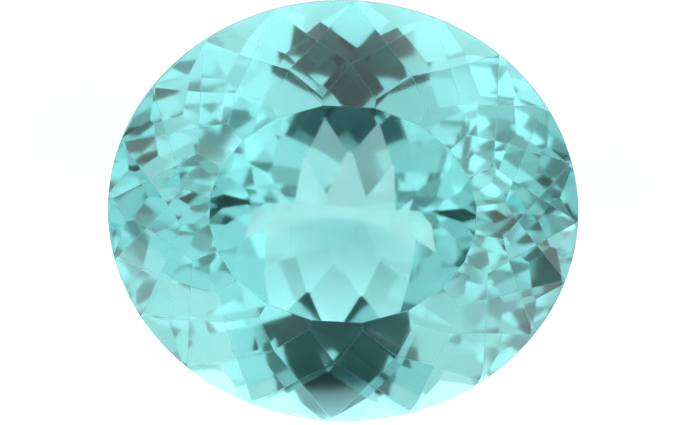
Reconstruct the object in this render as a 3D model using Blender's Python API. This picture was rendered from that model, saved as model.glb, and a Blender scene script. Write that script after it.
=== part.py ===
"""A faceted oval paraiba tourmaline, cut from one piece and lying on a facet of its pavilion.

The stone is cut the way a lapidary cuts it. A block of rough loses everything outside one plane after
another: the girdle, twenty facets in each tier of the crown, the table, and the tiers of the pavilion.
While it is cut its table faces +Z and its long axis is near X. Then it is laid down on its resting facet.
"""

import math

import bmesh
import bpy
import numpy as np
from mathutils import Matrix, Vector

NAME = "gemstone"

# The girdle's outline, an oval. The pavilion's facets set the index, and the stone was taken off the stick
# and put back between its two halves, so the outline and the crown are turned a little from that index.
LENGTH = 0.0140
WIDTH = 0.01255
OUTLINE_TURN = math.radians(-2.5)
CROWN_TURN = math.radians(-1.5)
GIRDLE_HEIGHT = 0.00028
GIRDLE_SIDES = 120

# The index: facets in one tier, in equal steps round the table's normal
FOLD = 20
STEP = 2 * math.pi / FOLD

# The crown's rows of meeting points, as distances in from the outline and up from the girdle
LOWER_ROW_INSET = 0.00115
LOWER_ROW_HEIGHT = 0.00084
UPPER_ROW_INSET = 0.00182
TABLE_INSET = 0.00303
CROWN_HEIGHT = 0.00184

# The pavilion's tiers from the girdle down: how far each one's facets lean from the table's plane, how much
# steeper they are at the stone's ends, and the radius of the arc that the outline's long side is taken for
# where the tiers' meeting points are worked out. The stone lies on a facet of the resting tier.
PAVILION_TILTS = np.radians((49.8, 45.4, 41.3, 38.5, 35.7, 33.8))
END_TILTS = np.radians((2.8, 3.2, 3.5, 3.9, 4.2, 4.6))
SIDE_RADIUS = 0.00816
RESTING_TIER = 3

# The block of rough, and how near two points may lie before they count as one
ROUGH_SIZE = 0.020
MEETING_TOLERANCE = 2e-6

WATER_BLUE = (0.36, 0.86, 0.84, 1.0)
TOURMALINE_IOR = 1.635


def clear_scene():
    for obj in list(bpy.data.objects):
        bpy.data.objects.remove(obj)


def azimuths(half_step, turn):
    """The index angles of one tier, clockwise from 12 o'clock as the table is looked at."""
    return (np.arange(FOLD) + 0.5 * half_step) * STEP + turn


def oval_point(half_length, half_width, azimuth):
    """The point of an oval where its outward normal has this azimuth."""
    turned = azimuth - OUTLINE_TURN
    reach = np.hypot(half_length * np.sin(turned), half_width * np.cos(turned))
    x = half_length**2 * np.sin(turned) / reach
    y = half_width**2 * np.cos(turned) / reach
    cosine, sine = math.cos(OUTLINE_TURN), math.sin(OUTLINE_TURN)
    return x * cosine + y * sine, y * cosine - x * sine


def inset_row(inset, height, half_step):
    """One row of the crown's meeting points: on the outline moved in by the inset, at one height."""
    angles = azimuths(half_step, CROWN_TURN)
    x, y = oval_point(LENGTH / 2 - inset, WIDTH / 2 - inset, angles)
    return np.stack([x, y, np.full(FOLD, height)], axis=1)


def planes_through(first, second, third):
    """One plane for each row of three points, as points and outward normals."""
    normals = np.cross(second - first, third - first)
    normals /= np.linalg.norm(normals, axis=1, keepdims=True)
    outward = np.sign(np.sum(normals * first, axis=1, keepdims=True))
    return list(zip(first, normals * outward))


def height_on(planes, x, y):
    """The height of each plane over its point of the plan."""
    heights = []
    for (point, normal), east, north in zip(planes, x, y):
        lean = normal[0] * (east - point[0]) + normal[1] * (north - point[1])
        heights.append(point[2] - lean / normal[2])
    return np.array(heights)


def girdle_planes():
    """Upright planes that touch the outline."""
    angles = np.arange(GIRDLE_SIDES) * 2 * math.pi / GIRDLE_SIDES
    x, y = oval_point(LENGTH / 2, WIDTH / 2, angles)
    points = np.stack([x, y, np.zeros(GIRDLE_SIDES)], axis=1)
    normals = np.stack([np.sin(angles), np.cos(angles), np.zeros(GIRDLE_SIDES)], axis=1)
    return list(zip(points, normals))


def crown_planes():
    """The crown, from the girdle up: girdle facets, two tiers of kites, stars and the table."""
    top = GIRDLE_HEIGHT / 2
    girdle_row = inset_row(0.0, top, False)
    lower_row = inset_row(LOWER_ROW_INSET, top + LOWER_ROW_HEIGHT, True)
    girdle_facets = planes_through(girdle_row, np.roll(girdle_row, -1, axis=0), lower_row)
    lower_kites = planes_through(girdle_row, np.roll(lower_row, 1, axis=0), lower_row)

    # The upper row lies on the lower kites, so that four facets meet in each of its points
    upper_row = inset_row(UPPER_ROW_INSET, 0.0, False)
    upper_row[:, 2] = height_on(lower_kites, upper_row[:, 0], upper_row[:, 1])
    upper_kites = planes_through(lower_row, upper_row, np.roll(upper_row, -1, axis=0))

    table_height = top + CROWN_HEIGHT
    table_row = inset_row(TABLE_INSET, table_height, True)
    stars = planes_through(upper_row, np.roll(table_row, 1, axis=0), table_row)
    table = [(np.array([0.0, 0.0, table_height]), np.array([0.0, 0.0, 1.0]))]
    return girdle_facets + lower_kites + upper_kites + stars + table


def tier_depths():
    """How far below the girdle the facets of each pavilion tier pass the outline.

    The first two tiers begin at the girdle. Each later one passes through the points where the two before
    it meet, worked out at 12 o'clock, where the outline is nearly an arc.
    """
    slopes = np.tan(PAVILION_TILTS)
    arc_height = SIDE_RADIUS * (1 - math.cos(STEP / 2))
    depths = [-slopes[0] * arc_height, 0.0]
    for tier in range(2, len(slopes)):
        steep, flat = slopes[tier - 2], slopes[tier - 1]
        lead = depths[tier - 1] + flat * arc_height - depths[tier - 2]
        way_in = lead / (steep - flat * math.cos(STEP / 2))
        depths.append(depths[tier - 2] + (steep - slopes[tier]) * way_in)
    return depths


def tier_planes(tier):
    """One tier of the pavilion. Each tier is half a step round from the one before it."""
    angles = azimuths(tier % 2 == 0, 0.0)
    tilts = PAVILION_TILTS[tier] + END_TILTS[tier] * np.sin(angles) ** 2
    x, y = oval_point(LENGTH / 2, WIDTH / 2, angles)
    z = np.full(FOLD, -GIRDLE_HEIGHT / 2 - tier_depths()[tier])
    points = np.stack([x, y, z], axis=1)
    outward = [np.sin(tilts) * np.sin(angles), np.sin(tilts) * np.cos(angles), -np.cos(tilts)]
    return list(zip(points, np.stack(outward, axis=1)))


def pavilion_planes():
    """All of the pavilion, from the girdle down to the keel that the last tier's long sides meet in."""
    planes = []
    for tier in range(len(PAVILION_TILTS)):
        planes += tier_planes(tier)
    return planes


def cut(stone, point, normal):
    """Takes away what lies outside one plane and closes the cut with one flat facet."""
    sliced = bmesh.ops.bisect_plane(
        stone,
        geom=stone.verts[:] + stone.edges[:] + stone.faces[:],
        dist=MEETING_TOLERANCE,
        plane_co=Vector(point),
        plane_no=Vector(normal),
        clear_outer=True,
    )
    rim = [item for item in sliced["geom_cut"] if isinstance(item, bmesh.types.BMEdge)]
    if rim:
        bmesh.ops.holes_fill(stone, edges=rim, sides=0)


def laid_down():
    """The turn that brings the resting facet, the one at 6 o'clock in its tier, to face the floor."""
    normal = min((plane[1] for plane in tier_planes(RESTING_TIER)), key=lambda normal: normal[1])
    lean = math.atan2(-normal[1], -normal[2])
    return Matrix.Rotation(lean, 4, "X")


def cut_stone():
    """The whole stone as one closed body, lying on its resting facet with its middle over the origin."""
    stone = bmesh.new()
    bmesh.ops.create_cube(stone, size=ROUGH_SIZE)
    for point, normal in girdle_planes() + crown_planes() + pavilion_planes():
        cut(stone, point, normal)
    bmesh.ops.remove_doubles(stone, verts=stone.verts[:], dist=MEETING_TOLERANCE)
    bmesh.ops.transform(stone, matrix=laid_down(), verts=stone.verts[:])
    corners = np.array([vertex.co for vertex in stone.verts])
    low, high = corners.min(axis=0), corners.max(axis=0)
    shift = Vector((-(low[0] + high[0]) / 2, -(low[1] + high[1]) / 2, -low[2]))
    bmesh.ops.translate(stone, vec=shift, verts=stone.verts[:])
    bmesh.ops.recalc_face_normals(stone, faces=stone.faces[:])
    mesh = bpy.data.meshes.new(NAME)
    stone.to_mesh(mesh)
    stone.free()
    return mesh


def tourmaline():
    """Clear blue-green crystal: plain transmission, with the colour in its body."""
    material = bpy.data.materials.new("tourmaline")
    material.use_nodes = True
    shader = material.node_tree.nodes["Principled BSDF"]
    shader.inputs["Base Color"].default_value = WATER_BLUE
    shader.inputs["Roughness"].default_value = 0.0
    shader.inputs["Metallic"].default_value = 0.0
    shader.inputs["IOR"].default_value = TOURMALINE_IOR
    shader.inputs["Transmission Weight"].default_value = 1.0
    return material


def main():
    clear_scene()
    collection = bpy.data.collections.new("Paraiba tourmaline")
    bpy.context.scene.collection.children.link(collection)
    gemstone = bpy.data.objects.new(NAME, cut_stone())
    gemstone.data.materials.append(tourmaline())
    collection.objects.link(gemstone)


main()
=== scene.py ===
# %% [markdown]
# # A cut tourmaline on a light table
#
# This lesson dresses one loose gemstone: a clear blue-green tourmaline, cut as an oval brilliant. It lies
# on one facet of its underside, so its table leans towards the viewer. The shape comes from a packed
# model, which is loaded as a fixed frame. Everything is in metres, in that model's own space, and +Z is
# up.
#
# A faceted stone has hardly any look of its own. Its facets are windows and mirrors, and what they show
# is the room, folded many times and tinted by the crystal. So this lesson has three parts: the crystal
# and its polish, the camera, and the small studio that the facets mirror.

import math

import bmesh
import bpy
import numpy as np
from mathutils import Matrix, Vector


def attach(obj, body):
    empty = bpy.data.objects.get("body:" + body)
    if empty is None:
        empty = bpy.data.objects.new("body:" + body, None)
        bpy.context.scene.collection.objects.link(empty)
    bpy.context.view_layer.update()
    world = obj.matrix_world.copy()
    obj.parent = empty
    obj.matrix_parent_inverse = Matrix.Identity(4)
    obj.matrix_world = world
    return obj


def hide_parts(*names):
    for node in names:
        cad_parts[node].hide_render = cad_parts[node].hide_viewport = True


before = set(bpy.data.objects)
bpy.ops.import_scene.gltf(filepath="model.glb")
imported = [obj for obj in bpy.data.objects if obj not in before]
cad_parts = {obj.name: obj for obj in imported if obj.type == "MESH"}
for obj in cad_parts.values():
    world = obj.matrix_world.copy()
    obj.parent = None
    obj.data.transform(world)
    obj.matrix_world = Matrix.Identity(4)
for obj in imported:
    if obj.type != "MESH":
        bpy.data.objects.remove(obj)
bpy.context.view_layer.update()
MM = 0.001

# %% [markdown]
# ## One face for each facet
#
# The model's mesh is a list of loose triangles, and the model itself is left alone. A copy of it is
# merged: its shared corners are joined, and the triangles that make up one facet become one face. With
# one face to a facet, the cutter's words can be found again in the mesh, such as the table, its largest
# facet.

# %% A merged copy of the stone
WELD = 0.0005 * MM
FLAT = math.radians(0.05)


def merged_copy(node, name):
    """A node's triangles with their shared corners joined, and the triangles of one facet made one face."""
    shell = bmesh.new()
    shell.from_mesh(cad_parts[node].data)
    bmesh.ops.remove_doubles(shell, verts=shell.verts[:], dist=WELD)
    bmesh.ops.dissolve_limit(shell, angle_limit=FLAT, verts=shell.verts[:], edges=shell.edges[:])
    mesh = bpy.data.meshes.new(name)
    shell.to_mesh(mesh)
    shell.free()
    return mesh


def face_values(mesh, field, width):
    """One field of every face as a numpy array, one row to a face."""
    values = np.empty(len(mesh.polygons) * width, dtype=np.float32)
    mesh.polygons.foreach_get(field, values)
    return values.reshape(-1, width).astype(float)


stone = bpy.data.objects.new("polished_stone", merged_copy("gemstone", "polished_stone"))
bpy.context.scene.collection.objects.link(stone)
print(len(stone.data.polygons), "facets,", len(stone.data.vertices), "corners")

# %% [markdown]
# ## The stone's own directions
#
# A cutter reads a stone like a clock. The table faces the reader, 12 o'clock is up, and every facet has a
# lean from the table and a place on the dial. The camera, the lights and the finish are all set out on
# that dial, so they follow the stone however it lies. All of it is measured on the merged copy.

# %% Table, girdle and dial
facet_normals = face_values(stone.data, "normal", 3)
facet_areas = face_values(stone.data, "area", 1)[:, 0]
facet_middles = face_values(stone.data, "center", 3)
table = facet_areas.argmax()
TABLE_NORMAL = Vector(facet_normals[table]).normalized()
LONG = Vector((1.0, 0.0, 0.0))
TWELVE = TABLE_NORMAL.cross(LONG).normalized()

# The girdle's facets stand at right angles to the table
UPRIGHT = math.sin(math.radians(1.0))
on_girdle = np.abs(facet_normals @ np.array(TABLE_NORMAL)) < UPRIGHT
corners = np.array([corner.co for corner in stone.data.vertices])
dial_axes = np.array([LONG, TWELVE, TABLE_NORMAL])
dial_corners = corners @ dial_axes.T
girdle_level = np.average(facet_middles[on_girdle] @ dial_axes[2], weights=facet_areas[on_girdle])
dial_middle = (dial_corners.min(axis=0) + dial_corners.max(axis=0)) / 2
GIRDLE = Vector((dial_middle[0], dial_middle[1], girdle_level) @ dial_axes)
STONE_LENGTH = np.ptp(dial_corners[:, 0])
print("girdle facets:", int(on_girdle.sum()), "and its middle, mm:", [round(v / MM, 3) for v in GIRDLE])
print("the table leans", round(math.degrees(math.acos(TABLE_NORMAL.z)), 1), "degrees")


def direction(lean, clock):
    """The unit vector at a lean from the table's normal, towards a clock angle: both in degrees."""
    lean, clock = math.radians(lean), math.radians(clock)
    side = LONG * math.sin(clock) + TWELVE * math.cos(clock)
    return TABLE_NORMAL * math.cos(lean) + side * math.sin(lean)


# %% [markdown]
# ## Polish, junctions and girdle
#
# The cutter polishes every facet flat, and later wear rubs the junctions between them, which then show as
# thin lines. So each junction of the crown is cut down to a very narrow face with a duller finish. The
# girdle is only ground, and so is its upper rim. Both are also painted dark, a painted shade that shows
# from the front as a thin dark line round the stone. The crown is left a trace less sharp than the
# pavilion. What lies deep in the stone is a little soft in the photo while the crown's own edges are
# crisp, and a trace of roughness on the way in does just that.
#
# Each face stores its finish in two attributes: its roughness, and whether it is ground, which also paints
# it dark as shade.

# %% Finish of each face
CROWN_FINISH = 0.10
GIRDLE_FINISH = 0.35
JUNCTION_FINISH = 0.35
JUNCTION_INSET = 0.008 * MM
RIM_INSET = 0.018 * MM


def cut_down(shell, wanted, inset, roughness, ground_and_painted_shade):
    """Cuts the wanted edges down to narrow faces, each face the inset away from its edge on both sides."""
    cut = bmesh.ops.bevel(
        shell,
        geom=[edge for edge in shell.edges if wanted(edge)],
        offset=inset,
        offset_type="OFFSET",
        segments=1,
        affect="EDGES",
        clamp_overlap=False,
    )
    for face in cut["faces"]:
        face[shell.faces.layers.float["finish"]] = roughness
        # 1 marks a ground face, and it also paints that face with the girdle's painted shade
        face[shell.faces.layers.float["ground_and_painted_shade"]] = ground_and_painted_shade
    return len(cut["faces"])


def wear(mesh, finish, ground_and_painted_shade):
    """Stores each face's finish, grinds the girdle's upper rim, marks the ground faces for a painted dark
    shade and wears the junctions of the crown.
    """
    mesh.attributes.new("finish", "FLOAT", "FACE").data.foreach_set("value", finish)
    # The ground mark is also the mask of the painted shade, a dark colour on the girdle
    mesh.attributes.new("ground_and_painted_shade", "FLOAT", "FACE").data.foreach_set("value", ground_and_painted_shade)
    shell = bmesh.new()
    shell.from_mesh(mesh)
    is_shaded_ground = shell.faces.layers.float["ground_and_painted_shade"]

    def on_rim(edge):
        reach = sorted(face.normal.dot(TABLE_NORMAL) for face in edge.link_faces)
        return abs(reach[0]) < UPRIGHT < reach[1]

    def in_crown(edge):
        faces = edge.link_faces
        return all(face.normal.dot(TABLE_NORMAL) > UPRIGHT and face[is_shaded_ground] == 0.0 for face in faces)

    rim = cut_down(shell, on_rim, RIM_INSET, GIRDLE_FINISH, 1.0)
    junctions = cut_down(shell, in_crown, JUNCTION_INSET, JUNCTION_FINISH, 0.0)
    open_edges = sum(len(edge.link_faces) != 2 for edge in shell.edges)
    shell.to_mesh(mesh)
    shell.free()
    return {"rim faces": rim, "junction faces": junctions, "open edges": open_edges}


up_share = facet_normals @ dial_axes[2]
facet_finish = np.where(on_girdle, GIRDLE_FINISH, np.where(up_share > 0, CROWN_FINISH, 0.0))
# The girdle's faces are ground, and they carry the painted shade as well
print(wear(stone.data, facet_finish, on_girdle.astype(float)))

# %% [markdown]
# ## Shader sums in plain Python
#
# A node tree for a finish is a sum, and sums are easier to read as Python. `Wire` holds one output
# socket, and each sign that is used on it adds one Math node. `Board.node` adds any other node: first its
# settings, such as an operation, then the values or wires of its inputs.

# %% Wires and boards


class Wire:
    """A node's output. Python's signs work on it, and each one adds a Math node to its board."""

    def __init__(self, board, socket):
        self.board = board
        self.socket = socket

    def math(self, operation, *others):
        """One Math node on this wire and any others."""
        inputs = dict(enumerate((self,) + others))
        return self.board.node("ShaderNodeMath", {"operation": operation}, inputs)

    def __add__(self, other):
        return self.math("ADD", other)

    __radd__ = __add__

    def __mul__(self, other):
        return self.math("MULTIPLY", other)

    __rmul__ = __mul__

    def __sub__(self, other):
        return self.math("SUBTRACT", other)

    def __rsub__(self, other):
        return self.board.node("ShaderNodeMath", {"operation": "SUBTRACT"}, {0: other, 1: self})

    def __abs__(self):
        return self.math("ABSOLUTE")

    def fade(self, start, end):
        """0 up to start, 1 from end on, and an S-shaped slope between them."""
        inputs = {"Value": self, "From Min": start, "From Max": end}
        return self.board.node("ShaderNodeMapRange", {"interpolation_type": "SMOOTHSTEP"}, inputs)


class Board:
    """The node tree of one material or world."""

    def __init__(self, owner):
        owner.use_nodes = True
        self.tree = owner.node_tree

    def node(self, kind, settings, inputs, output=0):
        """Adds a node and gives the wire of one of its outputs."""
        made = self.tree.nodes.new(kind)
        for setting, value in settings.items():
            setattr(made, setting, value)
        self.plug(made, inputs)
        return Wire(self, made.outputs[output])

    def plug(self, node, inputs):
        """Sets a node's inputs: a wire is linked, and anything else is its value."""
        for name, value in inputs.items():
            if isinstance(value, Wire):
                self.tree.links.new(value.socket, node.inputs[name])
            else:
                node.inputs[name].default_value = value

    def dot(self, vector, axis):
        """How far a vector reaches along an axis."""
        inputs = {0: vector, 1: tuple(axis)}
        return self.node("ShaderNodeVectorMath", {"operation": "DOT_PRODUCT"}, inputs, "Value")

    def mix(self, share, first, second):
        """A colour between two colours."""
        settings = {"data_type": "RGBA"}
        return self.node("ShaderNodeMix", settings, {0: share, 6: first, 7: second}, 2)


# %% [markdown]
# ## The crystal
#
# Most of a clear stone's colour is in its body, so it is made with absorption: light loses its red on the
# way, and a long way through the stone looks deep teal where a short one, at the rim, looks nearly white.
# The base colour adds a light tint where light crosses a facet, and it varies a little, as growth zones
# do in a real crystal. Tourmaline bends light by an index of 1.635, which sets where a facet is a window
# and where it is a mirror.

# %% Tourmaline
TOURMALINE_IOR = 1.635
BODY_COLOR = (0.08, 0.79, 0.775, 1.0)
BODY_DENSITY = 70.0
PALE_TINT = (0.705, 0.94, 0.935, 1.0)
DEEP_TINT = (0.665, 0.925, 0.935, 1.0)
# A painted shade: the dark colour given to the ground girdle and its rim, which shows as a dark line round
# the stone
GIRDLE_PAINTED_SHADE = (0.16, 0.24, 0.24, 1.0)
# The growth zones: how large they are, how finely they break up, and where one tint turns into the other
ZONE_SIZE = 1.5 * MM
ZONE_DETAIL = 2.0
ZONE_START = 0.35
ZONE_END = 0.65


def tourmaline():
    """The crystal: its body absorbs red, faint growth zones tint it, its ground girdle is painted dark as a
    painted shade, and its polish is each face's own.
    """
    material = bpy.data.materials.new("tourmaline")
    board = Board(material)
    place = board.node("ShaderNodeTexCoord", {}, {}, "Object")
    noise = {"Vector": place, "Scale": 1 / ZONE_SIZE, "Detail": ZONE_DETAIL}
    zones = board.node("ShaderNodeTexNoise", {}, noise).fade(ZONE_START, ZONE_END)
    tint = board.mix(zones, PALE_TINT, DEEP_TINT)
    # The ground girdle's mask, which mixes in the colour of the painted shade
    ground_and_painted_shade = board.node("ShaderNodeAttribute", {"attribute_name": "ground_and_painted_shade"}, {}, "Fac")
    finish = board.node("ShaderNodeAttribute", {"attribute_name": "finish"}, {}, "Fac")
    inputs = {
        "Base Color": board.mix(ground_and_painted_shade, tint, GIRDLE_PAINTED_SHADE),
        "Roughness": finish,
        "IOR": TOURMALINE_IOR,
        "Transmission Weight": 1.0,
    }
    board.plug(board.tree.nodes["Principled BSDF"], inputs)
    body = board.node("ShaderNodeVolumeAbsorption", {}, {"Color": BODY_COLOR, "Density": BODY_DENSITY})
    board.plug(board.tree.nodes["Material Output"], {"Volume": body})
    return material


stone.data.materials.append(tourmaline())
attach(stone, "root")
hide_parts("gemstone")
print("the stone wears", stone.data.materials[0].name)

# %% [markdown]
# ## The camera
#
# The photo looks at the stone almost along the table's normal, from 3 degrees nearer to the zenith, and
# the stone is turned a little clockwise in it. A long lens from 0.3 m has next to no perspective, as in
# close product work. The picture's size and the stone's place in it, in pixels, give the aim and the
# focal length.

# %% Camera
CAMERA_ABOVE = math.radians(3.0)
CAMERA_ROLL = math.radians(4.3)
CAMERA_DISTANCE = 0.300
PHOTO_SIZE = (685, 425)
PHOTO_LENGTH = 470.2
PHOTO_MIDDLE = (343.1, 210.9)


def place_camera():
    """Looks along the table's normal, tipped to the zenith, with the girdle's middle on its pixel."""
    elevation = math.asin(TABLE_NORMAL.z) + CAMERA_ABOVE
    back = Vector((0.0, -math.cos(elevation), math.sin(elevation)))
    level_up = back.cross(LONG)
    right = LONG * math.cos(CAMERA_ROLL) + level_up * math.sin(CAMERA_ROLL)
    up = level_up * math.cos(CAMERA_ROLL) - LONG * math.sin(CAMERA_ROLL)
    pixel = STONE_LENGTH / PHOTO_LENGTH
    aim = GIRDLE + right * (PHOTO_SIZE[0] / 2 - PHOTO_MIDDLE[0]) * pixel
    aim = aim - up * (PHOTO_SIZE[1] / 2 - PHOTO_MIDDLE[1]) * pixel
    data = bpy.data.cameras.new("camera")
    data.lens = data.sensor_width * CAMERA_DISTANCE / (pixel * PHOTO_SIZE[0])
    data.clip_start = CAMERA_DISTANCE / 10
    data.clip_end = CAMERA_DISTANCE * 100
    camera = bpy.data.objects.new("camera", data)
    turn = Matrix((right, up, back)).transposed().to_4x4()
    camera.matrix_world = Matrix.Translation(aim + back * CAMERA_DISTANCE) @ turn
    bpy.context.scene.collection.objects.link(camera)
    bpy.context.scene.camera = camera
    return camera


camera = place_camera()
print("focal length, mm:", round(camera.data.lens, 1))

# %% [markdown]
# ## The light table
#
# The stone lies on a sheet of white acrylic that glows a little from below, as on a light table. The glow
# fills the shadow under the stone, so that the facets that look down see white. It is strongest in front,
# where its lamp is, and that makes the stone's lower rim nearly white. The sheet is a flat grid worked
# out with numpy: a point is the middle plus one parameter along each of two sides.
#
# The sheet lies a hundredth of a millimetre under the stone. Where stone and sheet touched without any
# air between them, the resting facet could not mirror, and the dark facets that the table shows would
# turn white.

# %% A sheet from two sides


def grid_faces(rows, columns):
    """The four-sided faces of a grid of points that is stored row by row."""
    first = (np.arange(rows - 1)[:, None] * columns + np.arange(columns - 1)).ravel()
    return np.stack([first, first + 1, first + columns + 1, first + columns], axis=1)


def surface(name, points, material):
    """An object from a grid of points, an array of rows, columns and three values."""
    rows, columns = points.shape[:2]
    mesh = bpy.data.meshes.new(name)
    mesh.from_pydata(points.reshape(-1, 3).tolist(), [], grid_faces(rows, columns).tolist())
    mesh.materials.append(material)
    sheet = bpy.data.objects.new(name, mesh)
    bpy.context.scene.collection.objects.link(sheet)
    return sheet


FLOOR_HALF = 3.0
FLOOR_CELLS = 12
FLOOR_GAP = 0.01 * MM
ACRYLIC_WHITE = (0.90, 0.90, 0.90, 1.0)
ACRYLIC_FINISH = 0.7
TABLE_GLOW = 0.19
FRONT_GLOW = 0.85
FRONT_START = 5.0 * MM
FRONT_FULL = -4.0 * MM


def acrylic():
    """Matt white acrylic with a glow from below, stronger in front of the stone, where its lamp is."""
    material = bpy.data.materials.new("white_acrylic")
    board = Board(material)
    place = board.node("ShaderNodeTexCoord", {}, {}, "Object")
    in_front = board.dot(place, (0.0, -1.0, 0.0)).fade(-FRONT_START, -FRONT_FULL)
    glow = board.mix(in_front, (TABLE_GLOW,) * 3 + (1.0,), (FRONT_GLOW,) * 3 + (1.0,))
    inputs = {
        "Base Color": ACRYLIC_WHITE,
        "Roughness": ACRYLIC_FINISH,
        "Specular IOR Level": 0.0,
        "Emission Color": glow,
        "Emission Strength": 1.0,
    }
    board.plug(board.tree.nodes["Principled BSDF"], inputs)
    return material


def floor_points():
    """A flat square round the origin, a hair under the stone: x and y run evenly and the height is fixed."""
    steps = np.linspace(-FLOOR_HALF, FLOOR_HALF, FLOOR_CELLS + 1)
    x, y = np.meshgrid(steps, steps)
    return np.stack([x, y, np.full_like(x, -FLOOR_GAP)], axis=2)


surface("light_table", floor_points(), acrylic())
print("light table, m across:", 2 * FLOOR_HALF)

# %% [markdown]
# ## The dark card
#
# The crown's facets at 6 o'clock mirror what lies on the table in front of the stone. In the photo they
# mirror something dark there, the photographer's side of the table. A flat fan of dark card stands in for
# it. It is hidden from the camera and it throws no shadow, so it shows only in the stone.

# %% Dark card in front
CARD_NEAR = 6.0 * MM
CARD_FAR = 200.0 * MM
CARD_NEAR_HALF = 3.5 * MM
CARD_SPREAD = math.tan(math.radians(22.0))
CARD_LIFT = 0.1 * MM
CARD_ROWS = 9
CARD_COLUMNS = 5
CARD_GREY = (0.10, 0.10, 0.10, 1.0)
CARD_FINISH = 0.8


def card_paper():
    """Dark matt card."""
    material = bpy.data.materials.new("dark_card")
    board = Board(material)
    inputs = {"Base Color": CARD_GREY, "Roughness": CARD_FINISH, "Specular IOR Level": 0.0}
    board.plug(board.tree.nodes["Principled BSDF"], inputs)
    return material


def card_points():
    """A flat fan in front of the stone: it grows wider with the way out along -Y."""
    outwards = np.linspace(CARD_NEAR, CARD_FAR, CARD_ROWS)
    sideways = np.linspace(-1, 1, CARD_COLUMNS)
    way_out, across = np.meshgrid(outwards, sideways, indexing="ij")
    half = CARD_NEAR_HALF + (way_out - CARD_NEAR) * CARD_SPREAD
    return np.stack([across * half, -way_out, np.full_like(across, CARD_LIFT)], axis=2)


card = surface("dark_card", card_points(), card_paper())
card.visible_camera = False
card.visible_diffuse = False
card.visible_shadow = False
print("dark card, mm long:", round((CARD_FAR - CARD_NEAR) / MM))

# %% [markdown]
# ## The tent
#
# A cut stone is photographed in a tent of white cloth, with one opening for the lens. The tent isn't
# built: it is the world's background, a brightness for each direction. Its parts are set out on the
# stone's dial. Each is either round, within a radius of one direction, or a panel, between two leans and
# two clock angles, and all their edges are soft.
#
# The parts are what gives the stone its pattern. The facets at 12 and at 6 o'clock fold the view back to
# the lens and its opening, which makes the two dark blocks, and the lamp above 12 o'clock lays a haze on
# the facets there. The lit sides make the bright areas. The folds of the cloth and the three ribs, which
# hold it up, give the small facets at both sides something to mirror, and that is what breaks them up
# into light and dark.

# %% Tent
TENT_CLOTH = 0.84
# The cloth is brighter at its foot: by how much, and the leans where that begins and is full
TENT_FOOT = 0.90
FOOT_START = 60.0
FOOT_FULL = 95.0
SOFT_EDGE = 2.0
# A panel: what it is, its lean, half height, clock angle and half width in degrees, and its brightness
PANELS = (
    ("right side, lit", 24.0, 17.0, 74.0, 33.0, 1.30),
    ("left side, lit", 28.0, 24.0, -72.0, 12.0, 1.15),
    ("lamp above 12 o'clock", 77.0, 9.0, 0.0, 34.0, 1.70),
    ("photographer at 6 o'clock", 42.0, 50.0, 182.0, 26.0, 0.10),
)
# A round part: what it is, its lean, clock angle and radius in degrees, and its brightness
ROUNDS = (
    ("low right, lit", 24.0, 136.0, 20.0, 1.04),
    ("dim cloth, right", 88.0, 71.0, 23.0, 0.43),
    ("dim cloth, left", 107.0, -112.0, 48.0, 0.33),
    ("dim cloth at 12 o'clock", 36.0, -14.0, 9.0, 0.29),
    ("rib, upper right", 46.0, 42.0, 4.0, 0.13),
    ("rib, upper left", 52.0, -40.0, 7.0, 0.18),
    ("rib, lower left", 50.0, -137.0, 5.0, 0.06),
    ("lens opening", 4.0, 17.0, 19.0, 0.06),
    ("lens", 8.0, 184.0, 9.5, 0.02),
)
# The folds of the cloth run aslant: degrees of clock angle and of lean from one to the next. They begin
# at one lean and end at another, and lie only at the left and right sides, between two clock angles.
FOLD_CLOCK = 17.6
FOLD_LEAN = 39.0
FOLD_START = 155.0
FOLD_DEPTH = 0.58
FOLD_SOFT = 0.7
FOLD_LEANS = (38.0, 84.0)
FOLD_CLOCKS = (54.0, 152.0)
FOLD_FADE = 7.0
HALF_TURN = 180.0


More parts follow.
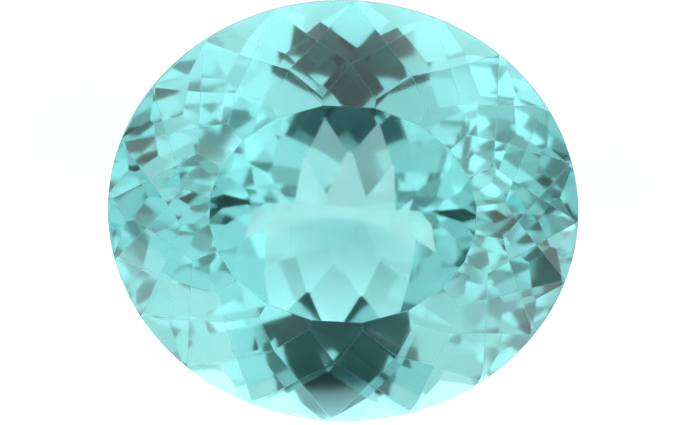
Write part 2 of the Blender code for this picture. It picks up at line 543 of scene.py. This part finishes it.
class Dial:
    """Where a direction lies on the stone's dial, as wires in degrees."""

    def __init__(self, board, towards):
        self.board = board
        self.towards = towards
        self.lean = board.dot(towards, TABLE_NORMAL).math("ARCCOSINE").math("DEGREES")
        east = board.dot(towards, LONG)
        north = board.dot(towards, TWELVE)
        self.clock = east.math("ARCTAN2", north).math("DEGREES")

    def round(self, lean, clock, radius):
        """1 within a radius of one direction."""
        apart = self.board.dot(self.towards, direction(lean, clock)).math("ARCCOSINE").math("DEGREES")
        return 1 - apart.fade(radius - SOFT_EDGE, radius + SOFT_EDGE)

    def panel(self, lean, half_height, clock, half_width):
        """1 between two leans and two clock angles. Clock angles count less near the table's normal."""
        beyond = abs(self.lean - lean)
        aside = abs((self.clock - clock).math("WRAP", HALF_TURN, -HALF_TURN))
        soft_aside = SOFT_EDGE / math.sin(math.radians(lean))
        inside = 1 - beyond.fade(half_height - SOFT_EDGE, half_height + SOFT_EDGE)
        return inside * (1 - aside.fade(half_width - soft_aside, half_width + soft_aside))

    def between(self, value, limits):
        """1 between two limits, with a soft edge at both."""
        low, high = limits
        above = value.fade(low - FOLD_FADE, low + FOLD_FADE)
        return above * (1 - value.fade(high - FOLD_FADE, high + FOLD_FADE))

    def folds(self):
        """1 on a fold and -1 between two, at the left and right sides, and 0 elsewhere."""
        turn = self.clock * (2 * math.pi / FOLD_CLOCK) + self.lean * (2 * math.pi / FOLD_LEAN)
        wave = (turn + math.radians(FOLD_START)).math("COSINE").fade(-FOLD_SOFT, FOLD_SOFT) * 2 - 1
        return wave * self.between(self.lean, FOLD_LEANS) * self.between(abs(self.clock), FOLD_CLOCKS)


def hang_tent():
    """The world's brightness: the cloth, then each part of the tent over the last, and the folds."""
    world = bpy.data.worlds.new("tent")
    bpy.context.scene.world = world
    board = Board(world)
    towards = board.node("ShaderNodeTexCoord", {}, {}, "Generated")
    dial = Dial(board, towards)
    glow = TENT_CLOTH + TENT_FOOT * dial.lean.fade(FOOT_START, FOOT_FULL)
    for _, lean, half_height, clock, half_width, brightness in PANELS:
        mask = dial.panel(lean, half_height, clock, half_width)
        glow = glow + mask * (brightness - glow)
    glow = glow * (1 + FOLD_DEPTH * dial.folds())
    for _, lean, clock, radius, brightness in ROUNDS:
        mask = dial.round(lean, clock, radius)
        glow = glow + mask * (brightness - glow)
    board.plug(board.tree.nodes["Background"], {"Color": (1.0, 1.0, 1.0, 1.0), "Strength": glow})
    return board


tent = hang_tent()
print("the tent has", len(PANELS) + len(ROUNDS), "parts and", len(tent.tree.nodes), "nodes")

# %% [markdown]
# ## Render quality
#
# Light turns many times inside a cut stone before it leaves, so it needs many bounces. The stone has to
# pass light on to the table as well, which takes caustics. The Standard view shows white as white.

# %% Bounces and view
BOUNCES = 16
DIFFUSE_BOUNCES = 4
scene = bpy.context.scene
scene.view_settings.view_transform = "Standard"
scene.cycles.max_bounces = BOUNCES
scene.cycles.transmission_bounces = BOUNCES
scene.cycles.glossy_bounces = BOUNCES
scene.cycles.diffuse_bounces = DIFFUSE_BOUNCES
scene.cycles.caustics_refractive = True
scene.cycles.caustics_reflective = True
scene.cycles.blur_glossy = 0.0
print("bounces:", BOUNCES)
